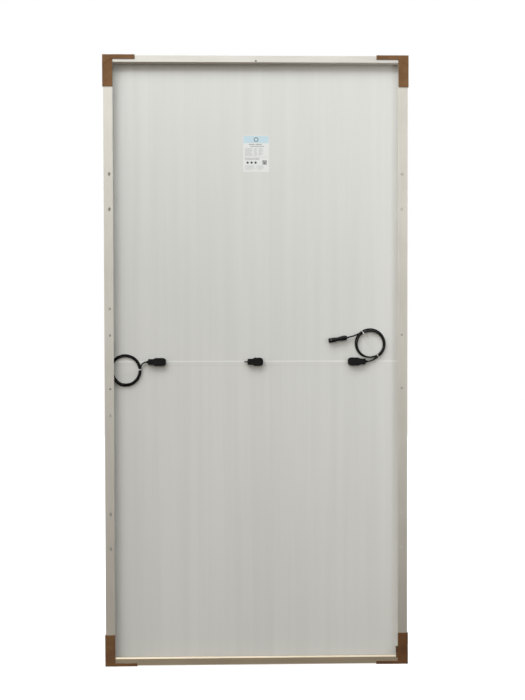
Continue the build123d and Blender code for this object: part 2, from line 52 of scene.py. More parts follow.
# =====================================================================
# Materials
# =====================================================================
class Shader:
    """A node material: the principled shader with helpers that add and join nodes."""

    def __init__(self, name, colour, roughness, metallic=0.0, **sockets):
        self.material = bpy.data.materials.new(name)
        self.material.use_nodes = True
        self.tree = self.material.node_tree
        self.bsdf = self.tree.nodes["Principled BSDF"]
        self.bsdf.inputs["Base Color"].default_value = (*colour, 1)
        self.bsdf.inputs["Roughness"].default_value = roughness
        self.bsdf.inputs["Metallic"].default_value = metallic
        for socket, value in sockets.items():
            self.bsdf.inputs[socket.replace("_", " ")].default_value = value
        self.material.diffuse_color = (*colour, 1)

    def node(self, kind, **values):
        """Add a node; values set its properties, or its inputs where no property has that name."""
        made = self.tree.nodes.new(kind)
        for key, value in values.items():
            if hasattr(made, key):
                setattr(made, key, value)
            else:
                made.inputs[key.replace("_", " ")].default_value = value
        return made

    def join(self, source, target):
        """Link an output to an input."""
        self.tree.links.new(source, target)

    def place(self, scale=(1, 1, 1), coordinates="Object"):
        """Object coordinates stretched by scale, so that noise can run along a part."""
        where = self.node("ShaderNodeTexCoord")
        mapping = self.node("ShaderNodeMapping", Scale=scale)
        self.join(where.outputs[coordinates], mapping.inputs["Vector"])
        return mapping.outputs["Vector"]

    def noise(self, scale, stretch=(1, 1, 1), detail=4.0, roughness=0.55):
        """Noise over the object, drawn out along any axis whose stretch is small."""
        made = self.node("ShaderNodeTexNoise", Scale=scale, Detail=detail, Roughness=roughness)
        self.join(self.place(stretch), made.inputs["Vector"])
        return made.outputs["Fac"]

    def ramp(self, value, *stops):
        """Colour ramp over (position, colour) stops; a number stands for a grey."""
        made = self.node("ShaderNodeValToRGB")
        elements = made.color_ramp.elements
        while len(elements) < len(stops):
            elements.new(0.5)
        for element, (position, colour) in zip(elements, stops):
            element.position = position
            grey = not hasattr(colour, "__len__")
            element.color = (colour, colour, colour, 1) if grey else (*colour, 1)
        self.join(value, made.inputs["Fac"])
        return made.outputs["Color"]

    def blend(self, how, factor, first, second):
        """Mix two colours; factor, first and second are outputs or plain values."""
        made = self.node("ShaderNodeMix", data_type="RGBA", blend_type=how)
        for socket, value in (("Factor", factor), ("A", first), ("B", second)):
            at = [s for s in made.inputs if s.name == socket and s.enabled][0]
            if isinstance(value, bpy.types.NodeSocket):
                self.join(value, at)
            else:
                at.default_value = value
        return [s for s in made.outputs if s.enabled][0]

    def colour(self, output):
        """Drive the base colour."""
        self.join(output, self.bsdf.inputs["Base Color"])

    def roughness(self, value, low, high):
        """Drive the roughness between low and high."""
        spread = self.node("ShaderNodeMapRange", To_Min=low, To_Max=high)
        self.join(value, spread.inputs["Value"])
        self.join(spread.outputs["Result"], self.bsdf.inputs["Roughness"])

    def bump(self, height, strength, distance):
        """Add a layer of relief over any that is there already."""
        made = self.node("ShaderNodeBump", Strength=strength, Distance=distance)
        self.join(height, made.inputs["Height"])
        if self.bsdf.inputs["Normal"].is_linked:
            self.join(self.bsdf.inputs["Normal"].links[0].from_socket, made.inputs["Normal"])
        self.join(made.outputs["Normal"], self.bsdf.inputs["Normal"])


def rail_metal(name, along, shade=(1.0, 1.0, 1.0)):
    """Clear-anodised extrusion: fine drawn lines along the rail and soft clouding."""
    made = Shader(name, (0.90, 0.875, 0.825), 0.4, 0.8, Specular_IOR_Level=0.5)
    # shade multiplies both tones; a shade below one is painted shade for a rail that stands in less light.
    dull = tuple(a * b for a, b in zip((0.86, 0.835, 0.785), shade))
    bright = tuple(a * b for a, b in zip((0.94, 0.915, 0.87), shade))
    lines = made.noise(420, tuple(0.012 if axis == along else 1 for axis in "xyz"), 3)
    clouds = made.noise(5, (1, 1, 1), 3)
    tone = made.ramp(clouds, (0.3, dull), (0.7, bright))
    streak = made.ramp(lines, (0.3, 0.93), (0.7, 1.0))
    made.colour(made.blend("MULTIPLY", 1.0, tone, streak))
    made.roughness(lines, 0.34, 0.5)
    made.bump(lines, 0.25, 0.00008)
    return made.material


def moulded(name, colour, roughness=0.5, grain=900.0):
    """Moulded plastic: fine spark texture and faint flow marks."""
    made = Shader(name, colour, roughness, Specular_IOR_Level=0.25)
    fine = made.noise(grain, detail=2)
    flow = made.noise(35, (1, 1, 2.5), 3)
    lift = tuple(min(1.0, c * 1.5 + 0.002) for c in colour)
    made.colour(made.ramp(flow, (0.35, colour), (0.75, lift)))
    made.roughness(fine, roughness - 0.08, roughness + 0.12)
    made.bump(fine, 0.35, 0.00012)
    return made.material


def metal(name, colour, roughness, grain, stretch):
    """Bare metal with fine lines along the axis that stretch makes small."""
    made = Shader(name, colour, roughness, 1.0)
    lines = made.noise(grain, stretch, 3)
    dark = tuple(c * 0.82 for c in colour)
    made.colour(made.ramp(lines, (0.25, dark), (0.75, colour)))
    made.roughness(lines, roughness - 0.06, roughness + 0.1)
    made.bump(lines, 0.2, 0.00005)
    return made.material


def rubber(name, colour, roughness=0.62):
    """Soft black compound: even grain with duller and shinier patches."""
    made = Shader(name, colour, roughness, Specular_IOR_Level=0.22)
    fine = made.noise(1400, detail=3)
    patches = made.noise(60, detail=2)
    lift = tuple(min(1.0, c * 1.4 + 0.003) for c in colour)
    made.colour(made.ramp(patches, (0.3, colour), (0.8, lift)))
    made.roughness(patches, roughness - 0.1, roughness + 0.1)
    made.bump(fine, 0.3, 0.00008)
    return made.material


def backsheet_film():
    """White laminated film, satin, with faint roller streaks up the sheet and a slow waviness."""
    made = Shader("backsheet_film", (0.80, 0.805, 0.785), 0.55, Specular_IOR_Level=0.35)
    streaks = made.noise(26, (1, 1, 0.02), 5, 0.6)
    clouds = made.noise(1.6, (1, 1, 0.7), 3)
    grain = made.noise(700, detail=2)
    tone = made.ramp(clouds, (0.3, (0.795, 0.80, 0.785)), (0.7, (0.83, 0.83, 0.81)))
    lines = made.ramp(streaks, (0.35, 0.955), (0.65, 1.0))
    made.colour(made.blend("MULTIPLY", 1.0, tone, lines))
    made.roughness(streaks, 0.45, 0.62)
    waves = made.noise(9, (1, 1, 0.35), 2)
    made.bump(waves, 0.35, 0.0006)
    made.bump(grain, 0.15, 0.00006)
    return made.material


def solar_glass():
    """Tempered front glass: see-through, faintly green, with a fine rolled texture."""
    made = Shader("solar_glass", (0.25, 0.31, 0.31), 0.08, IOR=1.45, Alpha=0.1)
    prismatic = made.noise(1500, detail=1)
    made.roughness(prismatic, 0.05, 0.14)
    made.bump(prismatic, 0.1, 0.00003)
    return made.material


def clear_film():
    """Encapsulant between glass, cells and backsheet: nearly invisible."""
    made = Shader("encapsulant", (0.96, 0.97, 0.96), 0.2, IOR=1.45, Alpha=0.04)
    haze = made.noise(300, detail=2)
    made.roughness(haze, 0.12, 0.28)
    return made.material


def solar_cell():
    """Silicon under a blue antireflective coat, with the fine printed fingers across each cell."""
    made = Shader("solar_cell", (0.012, 0.02, 0.055), 0.28, Specular_IOR_Level=0.6, Coat_Weight=0.3)
    fingers = made.node("ShaderNodeTexWave", wave_type="BANDS", bands_direction="Z", Scale=105.0)
    made.join(made.place(), fingers.inputs["Vector"])
    drift = made.noise(2.2, detail=2)
    coat = made.ramp(drift, (0.3, (0.010, 0.017, 0.048)), (0.7, (0.018, 0.028, 0.075)))
    lines = made.ramp(fingers.outputs["Fac"], (0.86, 0.0), (0.97, 0.35))
    made.colour(made.blend("MIX", lines, coat, (0.16, 0.18, 0.22, 1)))
    made.roughness(drift, 0.22, 0.36)
    made.bump(fingers.outputs["Fac"], 0.1, 0.00003)
    return made.material


def printed_film(name, colour):
    """Label stock and its ink: matt film with a slightly uneven print."""
    made = Shader(name, colour, 0.5, Specular_IOR_Level=0.4)
    fine = made.noise(1100, detail=3)
    light = tuple(min(1.0, c * 1.06 + 0.01) for c in colour)
    made.colour(made.ramp(fine, (0.3, colour), (0.7, light)))
    made.roughness(fine, 0.42, 0.6)
    made.bump(fine, 0.15, 0.00004)
    return made.material


def packing_board(name, colour):
    """Brown board: pressed flute lines, loose fibres and darker rubbed patches."""
    made = Shader(name, colour, 0.85, Specular_IOR_Level=0.2, Sheen_Weight=0.15)
    fibres = made.noise(520, (1, 1, 0.25), 5, 0.7)
    cloud = made.noise(16, detail=4)
    flutes = made.node("ShaderNodeTexWave", wave_type="BANDS", bands_direction="DIAGONAL", Scale=38.0)
    flutes.inputs["Distortion"].default_value = 0.6
    made.join(made.place(), flutes.inputs["Vector"])
    dark = tuple(c * 0.72 for c in colour)
    light = tuple(min(1.0, c * 1.18) for c in colour)
    tone = made.ramp(cloud, (0.3, dark), (0.55, colour), (0.8, light))
    fleck = made.ramp(fibres, (0.3, 0.82), (0.6, 1.0))
    made.colour(made.blend("MULTIPLY", 1.0, tone, fleck))
    made.roughness(fibres, 0.75, 0.95)
    made.bump(flutes.outputs["Fac"], 0.18, 0.0003)
    made.bump(fibres, 0.5, 0.00025)
    return made.material


def silicone(name, colour):
    """Cured sealant or potting: pale, slightly translucent, softly rippled."""
    made = Shader(name, colour, 0.45, Specular_IOR_Level=0.45, Subsurface_Weight=0.08)
    made.bsdf.inputs["Subsurface Radius"].default_value = (0.002, 0.0015, 0.001)
    ripple = made.noise(90, detail=3)
    made.colour(made.ramp(ripple, (0.3, tuple(c * 0.93 for c in colour)), (0.7, colour)))
    made.roughness(ripple, 0.36, 0.55)
    made.bump(ripple, 0.3, 0.0003)
    return made.material


# One finish for each material slot of the CAD record, and a few more for particular pieces. The foot
# and shaded rails are the same metal, tinted for the light that they stand in.
BLACK = (0.0032, 0.0033, 0.0038)
MATERIALS = {
    "frame_aluminium": rail_metal("frame_aluminium", "z"),
    "key_aluminium": metal("key_aluminium", (0.70, 0.70, 0.71), 0.42, 300, (1, 1, 0.05)),
    "solar_glass": solar_glass(),
    "encapsulant": clear_film(),
    "solar_cell": solar_cell(),
    "ribbon_metal": metal("ribbon_metal", (0.74, 0.74, 0.72), 0.32, 800, (1, 1, 0.05)),
    "backsheet_film": backsheet_film(),
    "sealant": silicone("sealant", (0.78, 0.78, 0.76)),
    "label_paper": printed_film("label_paper", (0.86, 0.87, 0.87)),
    "box_plastic": moulded("box_plastic", BLACK, 0.55),
    "lid_plastic": moulded("lid_plastic", (0.0042, 0.0043, 0.005), 0.5, 1200.0),
    "gland_rubber": rubber("gland_rubber", (0.005, 0.005, 0.0055)),
    "diode_epoxy": moulded("diode_epoxy", (0.012, 0.012, 0.013), 0.4),
    "terminal_copper": metal("terminal_copper", (0.78, 0.56, 0.42), 0.3, 260, (0.1, 1, 1)),
    "potting": silicone("potting", (0.72, 0.72, 0.70)),
    "cable_jacket": rubber("cable_jacket", (0.0042, 0.0043, 0.0048), 0.5),
    "connector_plastic": moulded("connector_plastic", BLACK, 0.45),
    "seal_rubber": rubber("seal_rubber", (0.014, 0.014, 0.014)),
    "contact_metal": metal("contact_metal", (0.80, 0.80, 0.78), 0.28, 700, (0.05, 1, 1)),
    "tie_plastic": moulded("tie_plastic", (0.70, 0.70, 0.68), 0.4),
    "packing_board": packing_board("packing_board", (0.235, 0.118, 0.052)),
}
CROSS_RAIL = rail_metal("frame_aluminium_cross", "x")
# Painted shade: the foot rail darker and warmer, with a painted warm reflection, and the right rail a little
# darker.
SHADED_FOOT_RAIL = rail_metal("frame_aluminium_foot_shaded", "x", (0.75, 0.665, 0.54))
SHADED_RAIL = rail_metal("frame_aluminium_shaded", "z", (0.91, 0.9, 0.885))
DARK_BOARD = packing_board("packing_board_dark", (0.165, 0.072, 0.027))
LABEL_BLUE = printed_film("label_blue", (0.62, 0.78, 0.87))
LABEL_GREY = printed_film("label_grey", (0.42, 0.44, 0.46))
DARK_PRINT_AND_SHADE = printed_film("dark_print_and_shade", (0.06, 0.065, 0.07))
BOARD_CORE = packing_board("board_core", (0.16, 0.085, 0.042))

OWN_FINISH = {"rail_top": CROSS_RAIL, "rail_bottom": SHADED_FOOT_RAIL, "rail_right": SHADED_RAIL}
slot_of = {part["node"]: part["material_slot"] for part in frame["record"]["subparts"]}
for name, node in nodes.items():
    chosen = OWN_FINISH.get(name, MATERIALS[slot_of[name]])
    if not node.material_slots:
        node.data.materials.append(chosen)
    for holder in node.material_slots:
        holder.material = chosen


# =====================================================================
# Camera
# =====================================================================
camera = bpy.data.objects.new("camera", bpy.data.cameras.new("camera"))
bpy.context.scene.collection.objects.link(camera)
# It stands 4.5 m behind the module, a little left of its middle and above it; angles in radians.
CAMERA_AT = (-0.0993, -4.5, 0.1604)
pitch, yaw, roll = -0.02572, 0.02711, -0.0019
forward = Vector((sin(yaw) * cos(pitch), cos(yaw) * cos(pitch), sin(pitch)))
level = Vector((cos(yaw), -sin(yaw), 0))
over = level.cross(forward)
across = level * cos(roll) + over * sin(roll)
upward = over * cos(roll) - level * sin(roll)
turn = Matrix((across, upward, -forward)).transposed()
camera.matrix_world = Matrix.Translation(CAMERA_AT) @ turn.to_4x4()
camera.data.lens = 61.87
camera.data.sensor_width = 36
camera.data.clip_start = 0.05
camera.data.clip_end = 100
bpy.context.scene.camera = camera


# =====================================================================
# Helpers for pieces
# =====================================================================
def round_edges(made, name, width, segments):
    """Bevel the edges of an object that are sharp."""
    cut = made.modifiers.new(name, "BEVEL")
    cut.width = width
    cut.segments = segments
    cut.limit_method = "ANGLE"


def even_normals(made, name):
    """Weight a smooth object's normals by its faces, so that flat faces stay flat."""
    weighted = made.modifiers.new(name, "WEIGHTED_NORMAL")
    weighted.keep_sharp = True


def bridge(bm, a, b):
    """Close the band between two loops of as many points."""
    count = len(a)
    for k in range(count):
        bm.faces.new((a[k], a[(k + 1) % count], b[(k + 1) % count], b[k]))


def piece(name, mesh_maker, body, slot, material=None, smooth=None, bevel=None):
    """Make an object from mesh_maker(bm), ride it on a body and give it a slot's finish."""
    bm = bmesh.new()
    mesh_maker(bm)
    mesh = bpy.data.meshes.new(name)
    bmesh.ops.recalc_face_normals(bm, faces=bm.faces)
    bm.to_mesh(mesh)
    bm.free()
    made = bpy.data.objects.new(name, mesh)
    bpy.context.scene.collection.objects.link(made)
    mesh.materials.append(material or MATERIALS[slot])
    if bevel:
        round_edges(made, "edges", bevel, 2)
    if smooth:
        mesh.shade_smooth()
        even_normals(made, "smooth")
    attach(made, body)
    return made


# =====================================================================
# Leads: one smooth spline each, from the gland through its coil to its connector
# =====================================================================
MM = 0.001
CABLE = 5.6 * MM


def between(keys, t):
    """Value at t of keys (t, radius, depth), eased between neighbours."""
    for (t0, *low), (t1, *high) in zip(keys, keys[1:]):
        if t <= t1:
            share = max(0.0, min(1.0, (t - t0) / (t1 - t0)))
            share = share * share * (3 - 2 * share)
            return [a + (b - a) * share for a, b in zip(low, high)]
    return list(keys[-1][1:])


def turns(centre, start, direction, total, keys, points_per_turn=15):
    """Control points of a coil's turns: radius and depth follow keys over the turned angle.

    A control point stands outside the curve that it shapes, so spread moves it out from the radius.
    """
    step = 360 / points_per_turn
    spread = 1 / (0.75 + 0.25 * cos(radians(step)))
    made = []
    for i in range(int(total / step) + 1):
        t = i * step
        radius, depth = between(keys, t)
        angle = radians(start + direction * t)
        reach = radius * spread
        made.append((centre[0] + reach * cos(angle), depth, centre[1] + reach * sin(angle)))
    return made


def lead(name, points, stands_for):
    """Round cable whose centreline is one NURBS spline through control points in millimetres."""
    curve = bpy.data.curves.new(name, "CURVE")
    curve.dimensions = "3D"
    spline = curve.splines.new("NURBS")
    spline.points.add(len(points) - 1)
    for point, at in zip(spline.points, points):
        point.co = (*(v * MM for v in at), 1)
    spline.order_u = 3
    spline.use_endpoint_u = True
    spline.resolution_u = 8
    curve.bevel_depth = CABLE / 2
    curve.bevel_resolution = 5
    curve.use_fill_caps = True
    curve.materials.append(MATERIALS["cable_jacket"])
    made = bpy.data.objects.new(name, curve)
    bpy.context.scene.collection.objects.link(made)
    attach(made, "module")
    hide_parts(*stands_for)
    return made


# A coil's keys are (degrees turned, radius, depth); a smaller depth is nearer the camera.
right_centre = (429.5, 65.0)
right_keys = [
    (0, 55.0, 22.9),
    (40, 56.0, 25.3),
    (200, 57.5, 25.3),
    (262, 54.0, 25.3),
    (338, 48.4, 25.3),
    (400, 50.4, 25.3),
    (540, 50.6, 25.3),
    (600, 50.0, 19.6),
    (700, 48.4, 19.5),
    (730, 50.0, 19.4),
    (770, 53.2, 20.1),
    (800, 53.0, 19.9),
    (840, 50.0, 19.5),
    (960, 50.0, 19.3),
]
right_points = [
    (416.2, 21.2, 0),
    (424.2, 21.2, 0),
    (436.0, 21.6, 3.6),
    (447.0, 22.2, 9.8),
]
right_points += turns(right_centre, -62, 1, 884, right_keys)
right_points += [
    (398.0, 18.6, 108.4),
    (380.0, 18.5, 101.8),
    (360.0, 18.6, 93.5),
    (338.4, 18.6, 89.7),
]
left_centre = (-492.3, -31.5)
left_keys = [
    (0, 55.0, 19.5),
    (100, 50.6, 19.7),
    (150, 58.2, 19.6),
    (192, 58.2, 25.3),
    (450, 58.2, 25.3),
    (510, 52.6, 25.3),
    (800, 52.6, 25.3),
    (860, 47.0, 25.2),
    (900, 46.8, 21.5),
    (930, 46.8, 19.6),
]
left_points = [
    (-410.4, 21.2, 0),
    (-416.4, 21.2, 0),
    (-426.9, 20.7, -5.8),
    (-433.6, 20.1, -15.5),
    (-434.9, 19.7, -27.0),
]
left_points += turns(left_centre, -10, -1, 876, left_keys)
left_points += [
    (-541.0, 19.4, -22),
    (-544.2, 18.6, -3),
    (-544.2, 18.6, 16),
]


# =====================================================================
# Coil ties: a strap around each bundle, and the thin cord drawn between them
# =====================================================================
def ring_strap(bm, centre, out, inner, outer, low, high, wide, thick):
    """Closed strap around a bundle: rounded rectangle from radius inner to outer and depth low to high."""
    along = out.cross(Vector((0, 1, 0)))
    mid = (inner + outer) / 2
    half_r, half_d = (outer - inner) / 2, (high - low) / 2
    corner = min(half_r, half_d) * 0.75
    loop = []
    for quarter, (sr, sd) in enumerate(((1, 1), (-1, 1), (-1, -1), (1, -1))):
        for i in range(5):
            angle = pi / 2 * (quarter + i / 4)
            r = sr * (half_r - corner) + corner * cos(angle)
            d = sd * (half_d - corner) + corner * sin(angle)
            loop.append((r, d))
    rings = []
    for side in (-1, 1):
        for grow in (0, thick):
            ring = []
            for r, d in loop:
                length = (r * r + d * d) ** 0.5
                k = 1 + grow / length
                depth = Vector((0, (low + high) / 2 + d * k, 0))
                at = centre + out * (mid + r * k) + depth + along * side * wide / 2
                ring.append(bm.verts.new(at * MM))
            rings.append(ring)
    low_in, low_out, high_in, high_out = rings
    for a, b in ((low_in, low_out), (high_in, high_out), (low_in, high_in), (low_out, high_out)):
        bridge(bm, a, b)


def block(bm, low, high, matrix=None):
    """Box between two corners, in millimetres."""
    made = bmesh.ops.create_cube(bm, size=1)["verts"]
    size = [(b - a) * MM for a, b in zip(low, high)]
    middle = [(a + b) / 2 * MM for a, b in zip(low, high)]
    bmesh.ops.scale(bm, vec=size, verts=made)
    bmesh.ops.translate(bm, vec=middle, verts=made)
    if matrix:
        bmesh.ops.transform(bm, matrix=matrix, verts=made)
    return made


def rod(bm, points, radius, sides=8):
    """Round thread through points in millimetres."""
    rings = []
    for i, at in enumerate(points):
        ahead = points[min(i + 1, len(points) - 1)] - points[max(i - 1, 0)]
        side = ahead.cross(Vector((0, 1, 0))).normalized()
        over = side.cross(ahead).normalized()
        ring = []
        for k in range(sides):
            angle = 2 * pi * k / sides
            ring.append(bm.verts.new((at + (side * cos(angle) + over * sin(angle)) * radius) * MM))
        rings.append(ring)
    for a, b in zip(rings, rings[1:]):
        bridge(bm, a, b)
    bm.faces.new(rings[0])
    bm.faces.new(rings[-1])


STRAP_W, STRAP_T = 2.2, 0.7
THREAD_R, THREAD_SAG, THREAD_STEPS = 0.4, 1.2, 12


def coil_ties(name, coil, straps, replaced):
    """A coil's straps (angle, inner, outer, low, high), each with its head, and the thread between them."""
    centre = Vector((coil[0], 0, coil[1]))

    def build(bm):
        knots = []
        for angle, inner, outer, low, high in straps:
            out = Vector((cos(radians(angle)), 0, sin(radians(angle))))
            along = out.cross(Vector((0, 1, 0)))
            ring_strap(bm, centre, out, inner, outer, low, high, STRAP_W, STRAP_T)
            head = centre + out * (inner + 3.0) + Vector((0, low - 1.6, 0))
            turn = Matrix.Translation(head * MM) @ Matrix((out, (0, 1, 0), along)).transposed().to_4x4()
            block(bm, (-2.2, -0.9, -1.9), (2.2, 1.4, 1.9), turn)
            block(bm, (-6.2, -0.45, -0.9), (-2.0, 0.25, 0.9), turn)
            knots.append(centre + out * (inner - 0.3) + Vector((0, low + 3.0, 0)))
        first, last = knots
        sag = Vector((0, 0, -THREAD_SAG))
        shares = [i / THREAD_STEPS for i in range(THREAD_STEPS + 1)]
        path = [first.lerp(last, share) + sag * (4 * share * (1 - share)) for share in shares]
        rod(bm, path, THREAD_R)

    made = piece(name, build, "module", "tie_plastic", bevel=0.00015)
    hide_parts(replaced)
    return made


right_straps = ((-57, 45.4, 59.0, 15.9, 28.1), (122, 46.8, 60.9, 15.2, 28.1))
left_straps = ((3, 48.8, 61.6, 16.3, 28.1), (-168, 43.4, 61.6, 15.9, 28.1))
for side, points, centre, straps in (
    ("right", right_points, right_centre, right_straps),
    ("left", left_points, left_centre, left_straps),
):
    ties = coil_ties(f"ties_{side}", centre, straps, f"coil_tie_{side}")
    lead(f"lead_{side}", points,
         [f"lead_{side}_{part}" for part in ("stub", "coil", "tail")])


# =====================================================================
# Corner protectors: folded board with rounded folds, overlapped leaves and rough cut ends
# =====================================================================
HALF_W, HALF_H, DEPTH, BOARD = 567.0, 1139.5, 35.0, 3.0
LONG_COVER, LONG_ARM, SHORT_ARM, FRONT_COVER = 35.0, 115.0, 117.0, 10
CLEAR = 0.1
EDGE_STEP = 9


def rough_prism(bm, corners, y_low, y_high, seed, rough=0.5, core=1):
    """Board leaf over an outline in X and Z, its edges wandering slightly; cut edges show the core."""
    points = []
    for a, b in zip(corners, corners[1:] + corners[:1]):
        steps = max(1, int((Vector(b) - Vector(a)).length / EDGE_STEP))
        for i in range(steps):
            at = Vector(a).lerp(Vector(b), i / steps)
            if i:
                wander = noise.noise(Vector((at.x * 0.05, at.y * 0.05, seed))) * rough
                normal = Vector((b[1] - a[1], a[0] - b[0])).normalized()
                at += normal * wander
            points.append(at)
    low = [bm.verts.new((p.x * MM, y_low * MM, p.y * MM)) for p in points]
    high = [bm.verts.new((p.x * MM, y_high * MM, p.y * MM)) for p in points]
    bm.faces.new(low)
    bm.faces.new(high)
    for i in range(len(low)):
        j = (i + 1) % len(low)
        bm.faces.new((low[i], low[j], high[j], high[i])).material_index = core


def protector(row, side, sz, sx, cover, seed, finish):
    """Folded sleeve over one corner: two leaves behind the flanges, two side walls and a front leaf."""
    def outline(*corners):
        """Corners (inward from the long rail, inward from the short rail) as points in X and Z."""
        return [(sx * (HALF_W - u), sz * (HALF_H - v)) for u, v in corners]

    def build(bm):
        out = -BOARD
        long_leaf = outline((out, out), (LONG_COVER, out), (LONG_COVER, LONG_ARM), (out, LONG_ARM))
        rough_prism(bm, long_leaf, out, -CLEAR, seed)
        short_leaf = outline(
            (out + 0.4, out),
            (SHORT_ARM, out),
            (SHORT_ARM, cover),
            (LONG_COVER - 4, cover),
            (out + 0.4, cover + 24),
        )
        rough_prism(bm, short_leaf, out - 0.9, -CLEAR, seed + 3)
        long_wall = outline((out, out), (-CLEAR, out), (-CLEAR, LONG_ARM), (out, LONG_ARM))
        rough_prism(bm, long_wall, out, DEPTH + BOARD, seed + 5, 0.12)
        short_wall = outline((out + 0.2, out), (SHORT_ARM, out), (SHORT_ARM, -CLEAR), (out + 0.2, -CLEAR))
        rough_prism(bm, short_wall, out, DEPTH + BOARD, seed + 7, 0.12)
        front_leaf = outline(
            (out, out),
            (SHORT_ARM, out),
            (SHORT_ARM, FRONT_COVER),
            (FRONT_COVER, FRONT_COVER),
            (FRONT_COVER, LONG_ARM),
            (out, LONG_ARM),
        )
        rough_prism(bm, front_leaf, DEPTH + CLEAR, DEPTH + BOARD, seed + 9)

    made = piece(f"board_{row}_{side}", build, f"protector_{row}_{side}", "packing_board", finish)
    made.data.materials.append(BOARD_CORE)
    round_edges(made, "folds", 0.0011, 3)
    made.data.shade_smooth()
    even_normals(made, "even")
    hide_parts(f"corner_protector_{row}_{side}")


LIGHT_BOARD = MATERIALS["packing_board"]
protector("top", "left", 1, -1, 13.0, 1.3, LIGHT_BOARD)
protector("top", "right", 1, 1, 13.0, 11.7, LIGHT_BOARD)
protector("bottom", "left", -1, -1, 8.0, 23.1, LIGHT_BOARD)
protector("bottom", "right", -1, 1, 8.0, 37.9, DARK_BOARD)


def torn_flap(bm):
    """Crumpled inner flap torn out of the lower right protector and bent back over the flange."""
    columns, rows = 7, 16
    grid = []
    for j in range(rows):
        v = j / (rows - 1)
        line = []
        for i in range(columns):
            u = i / (columns - 1)
            ragged = noise.noise(Vector((u * 3, v * 7, 4.2))) * 3.0 * u
            x = 532.5 - u * (10.0 - 4.0 * v) + ragged
            curl = 3.2 * sin(u * 2.6) * (0.5 + 0.5 * sin(v * 5 + 1))
            y = -1.6 - curl + noise.noise(Vector((u * 4, v * 9, 9.0))) * 1.2
            z = -1074 - v * 44 + noise.noise(Vector((u * 5, v * 5, 2.0))) * 2.0
            line.append(bm.verts.new((x * MM, min(y, -0.7) * MM, z * MM)))
        grid.append(line)
    for a, b in zip(grid, grid[1:]):
        for i in range(columns - 1):
            bm.faces.new((a[i], a[i + 1], b[i + 1], b[i]))


flap = piece("board_torn_flap", torn_flap, "protector_bottom_right", "packing_board", BOARD_CORE)
solid = flap.modifiers.new("board", "SOLIDIFY")
solid.thickness = 0.0012
solid.offset = 0
flap.data.shade_smooth()


# ===================================================================== Label print, centre tape, the fine marks on the backsheet and painted shade round the grounding holes
# Label print, centre tape and the fine marks on the backsheet
# =====================================================================
def raised(name, shapes, y_face, proud, slot, material, body="module"):
    """Thin flat shapes (x0, z0, x1, z1) in millimetres standing proud of a rear face."""
    def build(bm):
        for x0, z0, x1, z1 in shapes:
            block(bm, (x0, y_face - proud, z0), (x1, y_face, z1))
    return piece(name, build, body, slot, material)


low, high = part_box("nameplate_label")
lx, lz = (low[0] + high[0]) / 2 / MM, (low[2] + high[2]) / 2 / MM
face = low[1] / MM
raised("label_header", [(lx - 47, lz + 40, lx + 47, lz + 66.5)], face, 0.03, "label_paper", LABEL_BLUE)
bars = []
for z, height, spans in (
    (33, 3.4, ((-27, -6), (-3, 21))),
    (26.5, 2.6, ((-22, 30),)),
    (20, 1.1, ((-42, -12), (-8, 4), (9, 26))),
    (16.2, 1.1, ((-42, -18), (-8, 2), (9, 22))),
    (12.4, 1.1, ((-42, -10), (-8, 5), (9, 28))),
    (8.6, 1.1, ((-42, -15), (-8, 1), (9, 24))),
    (4.8, 1.1, ((-42, -20), (-8, 4), (9, 20))),
    (1.0, 1.1, ((-42, -13), (-8, 3), (9, 27))),
    (-2.8, 1.1, ((-42, -16), (-8, 5), (9, 23))),
    (-6.6, 1.1, ((-42, -11), (-8, 2), (9, 19))),
    (-13, 0.7, ((-44, 44),)),
    (-46, 1.0, ((-42, -6), (2, 26))),
    (-50, 1.0, ((-42, -12), (2, 30))),
    (-54, 1.0, ((-42, -3), (6, 28))),
    (-58, 1.0, ((-42, -16), (2, 20))),
):
    bars += [(lx + a, lz + z, lx + b, lz + z + height) for a, b in spans]
raised("label_lines", bars, face, 0.04, "label_paper", LABEL_GREY)
marks = []
for i, x in enumerate((-40, -31, -22, -13, -4, 5)):
    marks += [(lx + x, lz - 22.5, lx + x + 6, lz - 21.7), (lx + x, lz - 17.2, lx + x + 6, lz - 16.4),
              (lx + x, lz - 22.5, lx + x + 0.8, lz - 16.4), (lx + x + 5.2, lz - 22.5, lx + x + 6, lz - 16.4)]
for j in range(9):
    for i in range(9):
        if noise.noise(Vector((i * 1.7 + 0.3, j * 1.7 + 0.3, 5.5))) > -0.08 or i in (0, 8) or j in (0, 8):
            marks.append((lx + 24 + i * 1.7, lz - 40 + j * 1.7, lx + 25.6 + i * 1.7, lz - 38.4 + j * 1.7))
raised("label_marks", marks, face, 0.05, "label_paper", DARK_PRINT_AND_SHADE)


MARK_THICKNESS = 0.06


def disc(bm, x, z, face_y, outer, inner=0.0, count=28):
    """Thin round mark, or a ring where inner is given, standing proud of a rear face."""
    loops = []
    angles = [2 * pi * k / count for k in range(count)]
    for y in (face_y - MARK_THICKNESS, face_y):
        for r in (outer, inner):
            if r:
                spots = [((x + r * cos(a)) * MM, y * MM, (z + r * sin(a)) * MM) for a in angles]
                loops.append([bm.verts.new(spot) for spot in spots])
    if inner:
        rear_out, rear_in, front_out, front_in = loops
        pairs = ((rear_out, rear_in), (rear_out, front_out), (rear_in, front_in), (front_out, front_in))
    else:
        rear_out, front_out = loops
        bm.faces.new(rear_out)
        bm.faces.new(front_out)
        pairs = ((rear_out, front_out),)
    for a, b in pairs:
        bridge(bm, a, b)


def rings(bm):
    """Plain ring mark in the header and three round dots below the rule."""
    disc(bm, lx, lz + 53, face, 8.5, 6.2)
    for x in (-32, -17, -2):
        disc(bm, lx + x, lz - 33, face, 4.2)


GROUND_HOLES = ((-546, 100), (-546, -100), (546, 100), (546, -100), (0, 1120))


def hole_shade_rings(bm):
    """Dark ring painted around each grounding hole in the flanges: painted shade for the dark gap seen
    through the hole.
    """
    for x, z in GROUND_HOLES:
        disc(bm, x, z, 0.0, 3.6, 2.3)


